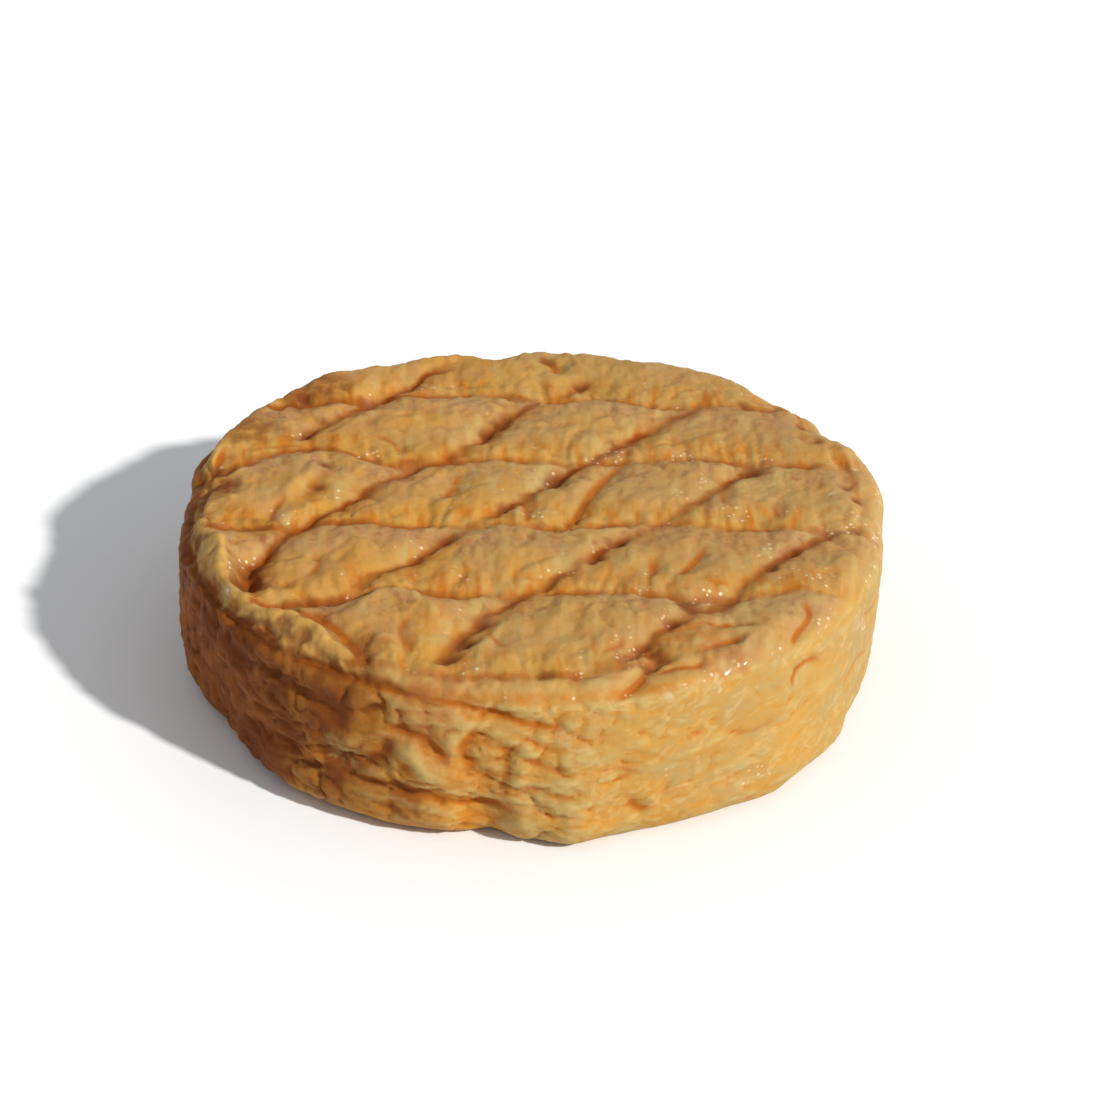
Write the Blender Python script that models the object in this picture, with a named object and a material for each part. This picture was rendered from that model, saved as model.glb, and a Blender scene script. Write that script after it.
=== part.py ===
"""A whole washed-rind cheese: one soft wheel whose rind is marked by the wires of a drying rack.

Metres, +Z up. The origin is the centre of the flat face that the wheel rests on.
+X is to the right and +Y away from a viewer in front of the wheel.
The lists of stops and paths are in millimetres and degrees, measured anticlockwise from +X.
"""

import math

import bmesh
import bpy
import numpy as np
from mathutils import Vector, noise

MM = 0.001

# Driving dimensions
WHEEL_HEIGHT = 29.0 * MM  # to the flat of the top face, between the marks
TOP_ROUNDING = 4.5 * MM  # radius of the edge between the top face and the wall
FOOT_ROUNDING = 5.0 * MM  # radius of the edge between the wall and the resting face
WALL_BULGE = 0.8 * MM  # how far the wall swells at half height
TOP_CROWN = 0.9 * MM  # rise of the top face from its edge to its middle

# Mesh density
TOP_CELLS = 48  # squares along each side of the patch that becomes the top face
TOP_EDGE_RINGS = 4  # steps round the upper edge
WALL_RINGS = 9  # steps down the wall between the two edges
FOOT_EDGE_RINGS = 4  # steps round the lower edge

# Radius of the wheel round its upper edge and round its foot: (degrees, millimetres)
RIM_OUTLINE = [
    (0, 54.0), (10, 55.8), (20, 56.2), (28, 54.0), (36, 55.6), (45, 55.2), (54, 56.0), (62, 55.3),
    (70, 54.6), (80, 55.0), (90, 55.2), (97, 52.2), (104, 55.2), (112, 56.0), (120, 57.2), (130, 58.8),
    (140, 58.4), (150, 57.6), (160, 57.0), (170, 54.8), (180, 54.2), (200, 54.6), (225, 54.2),
    (250, 54.4), (290, 54.4), (320, 54.6), (345, 54.6),
]
FOOT_OUTLINE = [
    (0, 53.0), (30, 54.0), (60, 53.6), (90, 54.2), (120, 53.8), (150, 54.4), (180, 54.8), (190, 54.0),
    (198, 52.8), (206, 52.3), (216, 52.9), (238, 53.4), (248, 53.3), (256, 52.6), (263, 50.8), (270, 53.3),
    (277, 54.7), (285, 53.6), (303, 53.8), (312, 55.0), (320, 54.1), (328, 54.1), (336, 52.7), (345, 53.0),
]

# Marks that the rack's slanting wires pressed into the top face: (depth, half width), then (x, y) points
SLANT_MARKS = [
    ((2.2, 1.9), [(-38, 20), (-33, 26), (-27, 32), (-21, 38), (-14, 47)]),
    ((3.5, 2.2), [(-42, -28), (-43.5, -19), (-40, -12), (-34, -8)]),
    ((1.5, 1.5), [(-34, -1), (-33, 5), (-30, 12)]),
    ((2.3, 1.9), [(-33, -8), (-28, 0), (-20, 9), (-14, 12), (-8, 20), (-5, 27), (0, 31), (5, 35), (11, 42)]),
    ((2.3, 1.9), [(-25, -26), (-20, -20), (-12, -12), (-5, -5), (0, 1), (5, 8), (10, 12), (16, 20), (24, 28),
                  (31, 32)]),
    ((2.6, 2.0), [(-14, -49), (-10, -42), (-5, -34), (0, -29), (6, -22), (13, -14), (20, -8), (25, -2),
                  (29, 3), (34, 9), (40, 13)]),
    ((2.7, 2.0), [(11, -50), (17, -43), (23, -35), (30, -30), (36, -21), (42, -14), (47, -10)]),
]

# Marks of the wires that run across, shallower than the slanting ones
CROSS_MARKS = [
    ((1.9, 1.6), [(-43, 33), (-30, 34), (-22, 34), (-8, 34), (0, 33), (6, 34), (16, 33), (28, 31), (41, 31)]),
    ((1.8, 1.6), [(-49, 11), (-42, 15), (-32, 13), (-14, 12), (0, 12), (10, 11), (24, 13), (36, 12), (47, 11)]),
    ((1.8, 1.6), [(-49, -8), (-41, -9), (-33, -8), (-12, -9), (8, -9), (20, -8), (34, -9), (49, -9)]),
    ((1.9, 1.6), [(-40, -30), (-30, -31), (-16, -28), (0, -29), (12, -28), (24, -30), (38, -29)]),
]

# Fold between the marked face and the rolled edge, deepest on the left: as the marks above
RIM_FOLDS = [
    ((2.0, 1.6), [(-49, 11), (-50, 3), (-50, -7)]),
    ((2.2, 1.8), [(-40, -30), (-33, -34), (-27, -42), (-21, -48)]),
    ((1.8, 1.6), [(-21, -48), (-12, -51), (2, -51), (13, -50)]),
    ((1.2, 1.4), [(50, 3), (51, -5), (49, -12)]),
    ((1.2, 1.4), [(46, 24), (43, 31), (37, 39)]),
]

# Rolls of rind that stand proud of the top face beside the rim fold: (height, half width), then (x, y) points
RIM_ROLLS = [
    ((1.1, 2.4), [(-48, -12), (-47, -20), (-44, -28), (-38, -35), (-31, -42)]),
    ((0.7, 2.0), [(-53, 6), (-52, 14), (-48, 23)]),
]

# Creases in the wall: (depth, half width), then (degrees, height) points
WALL_CREASES = [
    ((1.3, 1.5), [(228, 25.4), (238, 26.2), (248, 26.4), (258, 25.8), (268, 24.2), (275, 22.8)]),
    ((1.1, 1.7), [(218, 11), (228, 12), (238, 11.4), (250, 10.2), (262, 9.4), (272, 9)]),
    ((1.4, 2.0), [(226, 22), (236, 21), (239, 17), (243, 13)]),
    ((1.2, 1.5), [(247, 21), (252, 18.6), (256, 15.4), (262, 14), (268, 15)]),
    ((1.1, 1.6), [(192, 22), (202, 21.4), (212, 22.6), (222, 20)]),
    ((1.0, 1.6), [(186, 12), (198, 14.5), (208, 13), (216, 15.5)]),
    ((0.8, 1.4), [(282, 14.4), (287, 11), (288, 7), (293, 6.4)]),
    ((0.7, 1.4), [(296, 17), (306, 15), (318, 17.6)]),
    ((0.9, 1.4), [(313, 27.4), (316, 24), (316, 18)]),
    ((0.7, 1.4), [(328, 12), (340, 14), (352, 12)]),
    ((1.0, 1.6), [(12, 17), (28, 20), (44, 18), (60, 16)]),
    ((1.0, 1.6), [(66, 23), (82, 20), (98, 19), (116, 22)]),
    ((1.0, 1.6), [(84, 9), (100, 12), (120, 10.5), (140, 9)]),
    ((1.0, 1.6), [(126, 18), (140, 21), (156, 20), (172, 17)]),
]

# A mark on the top face is a narrow crease within a wider dip, so that the cells between are pillows
DIP_SHARE = 0.45  # of the mark's depth
DIP_SPREAD = 3.2  # times the crease's width

# Random puckering of the rind
WALL_PUCKER = 1.1 * MM
TOP_PUCKER = 0.6 * MM
PUCKER_LENGTH = 11.0 * MM  # size of one pucker, round the wheel
PUCKER_FLATNESS = 1.4  # how much shorter a pucker is up the wall than round it
VALLEY_WIDTH = 0.3  # of the noise's swing, between one pucker and the next
NOISE_ORIGIN = Vector((3.7, 8.1, 5.2))

RELIEF_FADE = 3.0 * MM  # the rind's relief fades to nothing over this height above the resting face
RIND_COLOUR = (0.63, 0.33, 0.10, 1.0)
RIND_ROUGHNESS = 0.4


def smooth_step(low, high, value):
    share = min(max((value - low) / (high - low), 0.0), 1.0)
    return share * share * (3.0 - 2.0 * share)


def around(stops, degrees):
    """The value at an angle of a closed list of (degrees, value) stops, eased from one stop to the next."""
    degrees %= 360.0
    closed = stops + [(stops[0][0] + 360.0, stops[0][1])]
    for (start, low), (end, high) in zip(closed, closed[1:]):
        if degrees <= end:
            return low + (high - low) * smooth_step(start, end, degrees)
    return closed[-1][1]


def widest_radius(degrees, height):
    """The wheel's radius at an angle, as its outline passes from the foot's to the upper edge's."""
    share = smooth_step(0.1, 0.9, height / WHEEL_HEIGHT)
    foot = around(FOOT_OUTLINE, degrees)
    return (foot + (around(RIM_OUTLINE, degrees) - foot) * share) * MM


def on_wall(degrees, height):
    """The point of the smooth wall at an angle and a height in millimetres."""
    height *= MM
    over = max(height - (WHEEL_HEIGHT - TOP_ROUNDING), 0.0)
    under = max(FOOT_ROUNDING - height, 0.0)
    inset = TOP_ROUNDING - math.sqrt(max(TOP_ROUNDING**2 - over**2, 0.0))
    inset += FOOT_ROUNDING - math.sqrt(max(FOOT_ROUNDING**2 - under**2, 0.0))
    bulge = WALL_BULGE * math.sin(math.pi * height / WHEEL_HEIGHT)
    radius = widest_radius(degrees, height) - inset + bulge
    angle = math.radians(degrees)
    return Vector((radius * math.cos(angle), radius * math.sin(angle), height))


def ring_heights():
    """Heights in millimetres of the wall's rings, from just below the top face down to the resting face."""
    heights = []
    for ring in range(1, TOP_EDGE_RINGS + 1):
        turn = math.pi / 2.0 * (1.0 - ring / TOP_EDGE_RINGS)
        heights.append(WHEEL_HEIGHT - TOP_ROUNDING * (1.0 - math.sin(turn)))
    straight = WHEEL_HEIGHT - TOP_ROUNDING - FOOT_ROUNDING
    for ring in range(1, WALL_RINGS + 1):
        heights.append(FOOT_ROUNDING + straight * (1.0 - ring / WALL_RINGS))
    for ring in range(1, FOOT_EDGE_RINGS + 1):
        turn = math.pi / 2.0 * ring / FOOT_EDGE_RINGS
        heights.append(FOOT_ROUNDING * (1.0 - math.sin(turn)))
    return [height / MM for height in heights]


def on_top(x, y):
    """The point of the smooth top face over a place in plan, in millimetres."""
    edge = around(RIM_OUTLINE, math.degrees(math.atan2(y, x))) * MM - TOP_ROUNDING
    share = min(math.hypot(x, y) * MM / edge, 1.0)
    return Vector((x * MM, y * MM, WHEEL_HEIGHT + TOP_CROWN * (1.0 - share * share)))


def disc_place(u, v):
    """Where a place of the square from -1 to 1 lies on the top face."""
    x = u * math.sqrt(1.0 - v * v / 2.0)
    y = v * math.sqrt(1.0 - u * u / 2.0)
    edge = around(RIM_OUTLINE, math.degrees(math.atan2(y, x))) - TOP_ROUNDING / MM
    return on_top(x * edge, y * edge)


def smooth_body():
    """The wheel before any relief: a round patch for the top, drawn down in rings to one flat face below."""
    body = bmesh.new()
    bmesh.ops.create_grid(body, x_segments=TOP_CELLS, y_segments=TOP_CELLS, size=1.0)
    for vertex in body.verts:
        vertex.co = disc_place(vertex.co.x, vertex.co.y)
    edge = [e for e in body.edges if e.is_boundary]
    for height in ring_heights():
        drawn = bmesh.ops.extrude_edge_only(body, edges=edge)["geom"]
        edge = [g for g in drawn if isinstance(g, bmesh.types.BMEdge)]
        for vertex in (g for g in drawn if isinstance(g, bmesh.types.BMVert)):
            vertex.co = on_wall(math.degrees(math.atan2(vertex.co.y, vertex.co.x)), height)
    resting_face = bmesh.ops.holes_fill(body, edges=edge, sides=0)["faces"]
    bmesh.ops.poke(body, faces=resting_face)
    bmesh.ops.recalc_face_normals(body, faces=body.faces)
    body.normal_update()
    return body


def bell(distance, half_width):
    return np.exp(-((distance / half_width) ** 2))


def distance_to(path, places):
    """How far each place is from a line through points."""
    nearest = np.full(len(places), np.inf)
    for start, end in zip(path, path[1:]):
        run = end - start
        share = np.clip((places - start) @ run / (run @ run), 0.0, 1.0)
        gap = places - start - share[:, None] * run
        nearest = np.minimum(nearest, np.linalg.norm(gap, axis=1))
    return nearest


def bells(lines, place_of, places, spread=1.0):
    """The relief that each line of a list leaves at each place, in metres: one row for a line."""
    rows = []
    for (size, half_width), points in lines:
        path = [np.array(place_of(*point)) for point in points]
        rows.append(size * MM * bell(distance_to(path, places), half_width * spread * MM))
    return np.array(rows)


def mark_depth(places):
    """How deep the marks on the top face press the rind at each place."""
    marks = SLANT_MARKS + CROSS_MARKS
    creases = bells(marks + RIM_FOLDS, on_top, places).max(axis=0)
    dips = bells(marks, on_top, places, DIP_SPREAD).max(axis=0)
    return creases * (1.0 - DIP_SHARE) + dips * DIP_SHARE


def pucker(place):
    """Rounded bulges with narrow valleys between them, from -1 to 1: longer round the wheel than up it."""
    at = place / PUCKER_LENGTH
    at.z *= PUCKER_FLATNESS
    at += noise.noise_vector(at * 0.5 + NOISE_ORIGIN) * 0.6
    return 1.0 - 2.0 * bell(noise.noise(at + NOISE_ORIGIN), VALLEY_WIDTH)


def press_rind(body):
    """Moves the rind along its own normals: rack marks, folds and creases in, rolls and puckers out."""
    places = np.array([v.co for v in body.verts])
    facing = np.array([v.normal for v in body.verts])
    depth = np.maximum(mark_depth(places), bells(WALL_CREASES, on_wall, places).max(axis=0))
    height = bells(RIM_ROLLS, on_top, places).sum(axis=0)
    sideways = np.clip((0.7 - np.abs(facing[:, 2])) / 0.6, 0.0, 1.0)
    puckers = np.array([pucker(v.co) for v in body.verts])
    height += (TOP_PUCKER + (WALL_PUCKER - TOP_PUCKER) * sideways) * puckers * 0.5
    fade = np.clip(places[:, 2] / RELIEF_FADE, 0.0, 1.0)
    moved = places + facing * ((height - depth) * fade)[:, None]
    moved[:, 2] = np.maximum(moved[:, 2], 0.0)
    for vertex, place in zip(body.verts, moved):
        vertex.co = place


def centre_on_base(body):
    """Puts the origin under the middle of the wheel's outline."""
    xs = [v.co.x for v in body.verts]
    ys = [v.co.y for v in body.verts]
    middle = Vector(((min(xs) + max(xs)) / 2.0, (min(ys) + max(ys)) / 2.0, 0.0))
    bmesh.ops.translate(body, verts=body.verts, vec=-middle)


def rind_material():
    material = bpy.data.materials.new("rind")
    material.use_nodes = True
    surface = material.node_tree.nodes["Principled BSDF"]
    surface.inputs["Base Color"].default_value = RIND_COLOUR
    surface.inputs["Roughness"].default_value = RIND_ROUGHNESS
    surface.inputs["Metallic"].default_value = 0.0
    return material


def make_cheese():
    body = smooth_body()
    press_rind(body)
    centre_on_base(body)
    mesh = bpy.data.meshes.new("cheese")
    body.to_mesh(mesh)
    body.free()
    mesh.materials.append(rind_material())
    mesh.shade_smooth()
    cheese = bpy.data.objects.new("cheese", mesh)
    bpy.context.scene.collection.objects.link(cheese)
    return cheese


for leftover in list(bpy.data.objects):
    bpy.data.objects.remove(leftover)
make_cheese()
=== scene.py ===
import math

import bpy
import numpy as np
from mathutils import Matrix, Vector


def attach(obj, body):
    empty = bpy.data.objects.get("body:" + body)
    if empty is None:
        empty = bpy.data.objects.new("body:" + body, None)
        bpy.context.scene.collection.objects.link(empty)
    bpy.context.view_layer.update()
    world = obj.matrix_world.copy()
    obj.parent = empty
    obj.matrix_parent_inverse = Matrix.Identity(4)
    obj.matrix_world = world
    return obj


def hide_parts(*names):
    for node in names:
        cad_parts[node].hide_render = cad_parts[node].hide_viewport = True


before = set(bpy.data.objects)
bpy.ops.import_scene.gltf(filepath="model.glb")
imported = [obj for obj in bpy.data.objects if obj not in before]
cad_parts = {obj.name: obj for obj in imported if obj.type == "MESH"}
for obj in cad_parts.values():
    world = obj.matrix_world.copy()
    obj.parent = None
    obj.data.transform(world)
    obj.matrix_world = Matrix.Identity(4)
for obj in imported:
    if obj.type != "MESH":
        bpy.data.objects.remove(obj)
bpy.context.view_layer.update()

mm = 0.001


class Wire:
    # one output socket, so that sums on it read as sums and add their Math nodes
    def __init__(self, socket):
        self.socket = socket
        self.tree = socket.id_data

    def maths(self, operation, *others, clamp=False):
        node = self.tree.nodes.new("ShaderNodeMath")
        node.operation = operation
        node.use_clamp = clamp
        plug(self.tree, self, node.inputs[0])
        for spot, other in enumerate(others, start=1):
            plug(self.tree, other, node.inputs[spot])
        return Wire(node.outputs[0])

    def __add__(self, other):
        return self.maths("ADD", other)

    def __sub__(self, other):
        return self.maths("SUBTRACT", other)

    def __mul__(self, other):
        return self.maths("MULTIPLY", other)

    def __truediv__(self, other):
        return self.maths("DIVIDE", other)

    def __pow__(self, other):
        return self.maths("POWER", other)

    def __neg__(self):
        return self.maths("MULTIPLY", -1.0)

    def __rsub__(self, other):
        return (-self).maths("ADD", other)

    def __rtruediv__(self, other):
        return (self ** -1.0).maths("MULTIPLY", other)

    __radd__ = __add__
    __rmul__ = __mul__

    def most(self, other):
        return self.maths("MAXIMUM", other)

    def size(self):
        return self.maths("ABSOLUTE")

    def exp(self):
        return self.maths("EXPONENT")

    def clipped(self):
        return self.maths("ADD", 0.0, clamp=True)

    def between(self, low, high):
        # eased from 0 at low to 1 at high, which may be the lower number
        return add(self.tree, "ShaderNodeMapRange", {"interpolation_type": "SMOOTHSTEP"},
                   {"Value": self, "From Min": low, "From Max": high})


def plug(tree, value, socket):
    if isinstance(value, Wire):
        tree.links.new(value.socket, socket)
    elif value is not None:
        socket.default_value = value


def add(tree, kind, settings={}, values={}, out=0):
    # any node: its settings first, then the values or wires of its inputs, by name or number
    node = tree.nodes.new(kind)
    for name, setting in settings.items():
        setattr(node, name, setting)
    for name, value in values.items():
        plug(tree, value, node.inputs[name])
    return Wire(node.outputs[out])


# the smooth wheel, in millimetres, the same form as the solid
wheel = {
    "height": 29.0, "topRounding": 4.5, "footRounding": 5.0, "bulge": 0.8, "crown": 0.9,
    "turning": (0.1, 0.9),  # the shares of the height between which the foot's outline turns into the rim's
    "middle": (-0.14, 0.13),  # where the outline's middle lies, which the finished piece is shifted by
    "sectors": 6, "topRings": 110, "edgeRings": 16, "wallRings": 44, "footRings": 18,
    "baseCounts": (660, 330, 165, 82, 41, 20),
    "rim": [
        (0, 54.0), (10, 55.8), (20, 56.2), (28, 54.0), (36, 55.6), (45, 55.2), (54, 56.0), (62, 55.3),
        (70, 54.6), (80, 55.0), (90, 55.2), (97, 52.2), (104, 55.2), (112, 56.0), (120, 57.2), (130, 58.8),
        (140, 58.4), (150, 57.6), (160, 57.0), (170, 54.8), (180, 54.2), (200, 54.6), (225, 54.2),
        (250, 54.4), (290, 54.4), (320, 54.6), (345, 54.6),
    ],
    "foot": [
        (0, 53.0), (30, 54.0), (60, 53.6), (90, 54.2), (120, 53.8), (150, 54.4), (180, 54.8), (190, 54.0),
        (198, 52.8), (206, 52.3), (216, 52.9), (238, 53.4), (248, 53.3), (256, 52.6), (263, 50.8),
        (270, 53.3), (277, 54.7), (285, 53.6), (303, 53.8), (312, 55.0), (320, 54.1), (328, 54.1),
        (336, 52.7), (345, 53.0),
    ],
}


def smooth(share):
    return share * share * (3.0 - 2.0 * share)


def around(stops, degrees):
    # the value at an angle of a closed list of stops, eased from one stop to the next
    stops = stops + [(stops[0][0] + 360.0, stops[0][1])]
    angles = np.array([stop[0] for stop in stops], dtype=float)
    values = np.array([stop[1] for stop in stops], dtype=float)
    degrees = np.mod(np.asarray(degrees, dtype=float), 360.0)
    at = np.clip(np.searchsorted(angles, degrees, side="right") - 1, 0, len(stops) - 2)
    share = (degrees - angles[at]) / (angles[at + 1] - angles[at])
    return values[at] + (values[at + 1] - values[at]) * smooth(share)


def onWall(degrees, height):
    degrees, height = np.broadcast_arrays(np.asarray(degrees, float), np.asarray(height, float))
    top, foot, whole = wheel["topRounding"], wheel["footRounding"], wheel["height"]
    over = np.maximum(height - (whole - top), 0.0)
    under = np.maximum(foot - height, 0.0)
    inset = top - np.sqrt(np.maximum(top**2 - over**2, 0.0))
    inset += foot - np.sqrt(np.maximum(foot**2 - under**2, 0.0))
    starts, ends = wheel["turning"]
    share = smooth(np.clip((height / whole - starts) / (ends - starts), 0.0, 1.0))
    low, high = around(wheel["foot"], degrees), around(wheel["rim"], degrees)
    radius = low + (high - low) * share - inset + wheel["bulge"] * np.sin(np.pi * height / whole)
    angle = np.radians(degrees)
    return np.stack([radius * np.cos(angle), radius * np.sin(angle), height], -1)


def onTop(x, y):
    x, y = np.broadcast_arrays(np.asarray(x, float), np.asarray(y, float))
    edge = around(wheel["rim"], np.degrees(np.arctan2(y, x))) - wheel["topRounding"]
    share = np.minimum(np.hypot(x, y) / edge, 1.0)
    return np.stack([x, y, wheel["height"] + wheel["crown"] * (1.0 - share * share)], -1)


def wheelRings():
    # rings of points from the middle of the top, over the edge, down the wall and in again below
    rings = [onTop([0.0], [0.0])]
    for ring in range(1, wheel["topRings"] + 1):
        count = wheel["sectors"] * ring
        degrees = np.arange(count) * 360.0 / count
        reach = (around(wheel["rim"], degrees) - wheel["topRounding"]) * ring / wheel["topRings"]
        rings.append(onTop(reach * np.cos(np.radians(degrees)), reach * np.sin(np.radians(degrees))))
    top, foot, height = wheel["topRounding"], wheel["footRounding"], wheel["height"]
    turns = np.radians(np.linspace(90.0, 0.0, wheel["edgeRings"] + 1)[1:])
    heights = list(height - top * (1.0 - np.sin(turns)))
    heights += list(np.linspace(height - top, foot, wheel["wallRings"] + 1)[1:])
    turns = np.radians(np.linspace(0.0, 90.0, wheel["footRings"] + 1)[1:])
    heights += list(foot * (1.0 - np.sin(turns)))
    for ring, level in enumerate(heights):
        halfStep = 0.5 * ((ring + 1) % 2)  # every other ring is turned by half a step
        rings.append(onWall((np.arange(count) + halfStep) * 360.0 / count, level))
    for step, count in enumerate(wheel["baseCounts"], start=1):
        share = 1.0 - step / (len(wheel["baseCounts"]) + 1.0)
        degrees = np.arange(count) * 360.0 / count
        rings.append(onWall(degrees, 0.0) * np.array([share, share, 0.0]))
    rings.append(np.zeros((1, 3)))
    return rings


def zipRings(inner, outer):
    # triangles between two rings, each given as (first point's number, count, turn of its first point)
    (a, aCount, aTurn), (b, bCount, bTurn) = inner, outer
    faces, i, j = [], 0, 0
    while i < aCount or j < bCount:
        nextA = (i + 1) / aCount + aTurn if aCount > 1 else math.inf
        nextB = (j + 1) / bCount + bTurn if bCount > 1 else math.inf
        if (nextB <= nextA and j < bCount) or i >= aCount or aCount == 1:
            if j >= bCount:
                break
            faces.append((a + i % aCount, b + j % bCount, b + (j + 1) % bCount))
            j += 1
        else:
            faces.append((a + i % aCount, b + j % bCount, a + (i + 1) % aCount))
            i += 1
        if (aCount == 1 and j >= bCount) or (bCount == 1 and i >= aCount):
            break
    return faces


def placed(name, data):
    # a new object in the scene
    thing = bpy.data.objects.new(name, data)
    bpy.context.scene.collection.objects.link(thing)
    return thing


def wheelBlank():
    rings = wheelRings()
    faces, first = [], 0
    for inner, outer in zip(rings, rings[1:]):
        turns = [math.atan2(ring[0][1], ring[0][0]) / math.tau % 1.0 if len(ring) > 1 else 0.0
                 for ring in (inner, outer)]
        faces += zipRings((first, len(inner), turns[0]), (first + len(inner), len(outer), turns[1]))
        first += len(inner)
    mesh = bpy.data.meshes.new("cheeseRind")
    mesh.from_pydata(np.concatenate(rings).tolist(), [], faces)
    mesh.validate()
    mesh.shade_smooth()
    return placed("cheeseRind", mesh)


# lines that are pressed into the rind, each as (depth, half width of its floor, reach of its sides) and its
# points: x and y on the top, degrees round and height on the wall, and then the share of the depth that the
# line has there, where that isn't 1; "share" is the part of all these depths that the relief takes
slantMarks = {
    "share": 0.85,
    "lines": [
        ((1.8, 0.45, 1.5), [(-39.8, 20.6, 0.6), (-36.8, 23.6, 0.9), (-32.8, 27.6, 0.7), (-28.8, 32.6, 1.1),
                           (-24.8, 36.6, 1.1), (-20.8, 40.6, 0.9), (-16.8, 45.6, 0.8), (-11.8, 49.6, 0.6)]),
        ((2.0, 0.5, 1.6), [(-41.4, -26.8, 0.9), (-42.8, -22.6, 1.3), (-42.8, -17.6, 1.4),
                           (-41.0, -13.6, 1.3), (-37.6, -9.0, 1.0), (-28.5, 1.3, 0.75), (-24.5, 6.3, 0.6),
                           (-20.5, 10.3, 0.9), (-14.5, 13.3, 0.7), (-11.5, 17.3, 0.8), (-8.5, 21.3, 1.1),
                           (-5.5, 27.3, 0.9), (-0.5, 32.3, 0.6), (4.5, 36.3, 0.5), (10.5, 43.3, 0.6)]),
        ((0.75, 0.3, 1.3), [(-36.3, -1.4, 0.5), (-35.3, 1.6, 1.0), (-34.3, 5.6, 1.0), (-32.3, 10.6, 0.8),
                           (-30.3, 13.6, 0.4)]),
        ((1.8, 0.45, 1.5), [(-27.5, -26.7, 0.5), (-23.5, -21.7, 1.0), (-18.5, -17.7, 0.9),
                           (-12.5, -10.7, 1.0), (-5.5, -3.7, 0.7), (-0.5, 2.3, 0.9), (4.5, 9.3, 1.2),
                           (9.5, 13.3, 0.7), (15.5, 21.3, 1.0), (23.5, 29.3, 0.8), (30.5, 33.3, 0.4)]),
        ((1.9, 0.45, 1.5), [(-14.6, -48, 0.5), (-11, -39.8, 1.0), (-6, -31.8, 1.0), (-0.8, -27.4, 0.8),
                           (5.5, -20.7, 0.8), (12.5, -12.7, 1.0), (19.5, -6.7, 0.7), (24.5, -0.7, 0.9),
                           (28.5, 4.3, 0.7), (33.5, 10.3, 1.1), (39.5, 14.3, 0.5)]),
        ((1.9, 0.45, 1.5), [(8.2, -49.2, 0.6), (12.2, -45.2, 0.7), (16.2, -41.2, 0.9), (22.5, -33.7, 0.9),
                           (29.5, -28.7, 0.8), (35.5, -19.7, 1.0), (41.5, -12.7, 1.0), (47.5, -7.7, 0.5)]),
    ],
}

crossMarks = {
    "share": 0.95,
    "lines": [
        ((1.35, 0.2, 1.9), [(-44, 33, 1.0), (-36, 34, 1.2), (-29, 35, 1.1), (-22, 36, 0.9), (-8, 36, 0.7),
                            (0, 34, 0.9), (4, 34, 1.1), (10, 35, 0.6), (18, 33, 0.8), (28, 32, 0.8),
                            (41, 31, 0.7)]),
        ((1.35, 0.2, 1.9), [(-50, 10, 0.6), (-43, 15, 1.0), (-36, 18, 0.8), (-30, 16, 0.5), (-22, 13, 0.8),
                            (-14, 13, 0.8), (0, 13, 0.9), (10, 12, 0.8), (17, 13, 0.8), (24, 14, 1.0),
                            (36, 13, 0.9), (47, 11, 0.6)]),
        ((1.35, 0.2, 1.9), [(-49, -8, 0.8), (-41, -8, 0.7), (-33, -7, 0.6), (-24, -7, 0.9), (-12, -8, 1.0),
                            (0, -8, 0.8), (10, -8, 1.0), (20, -7, 0.8), (28, -8, 1.0), (38, -8, 0.9),
                            (50, -9, 0.8)]),
        ((1.6, 0.2, 1.9), [(-41, -30, 0.9), (-34, -29.5, 1.2), (-28, -27.6, 1.2), (-22, -27, 0.7),
                            (-16, -27, 1.0), (-8, -28, 0.8), (0, -28, 0.7), (8, -27, 1.0), (14, -27, 0.9),
                            (24, -29, 0.9), (34, -28, 1.0), (41, -27, 0.6)]),
        ((0.8, 0.5, 1.8), [(-24, -46, 0.5), (-12, -50, 0.8), (2, -50.5, 0.6), (8, -49.5, 1.0),
                           (17, -46.5, 0.9)]),
    ],
}

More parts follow.
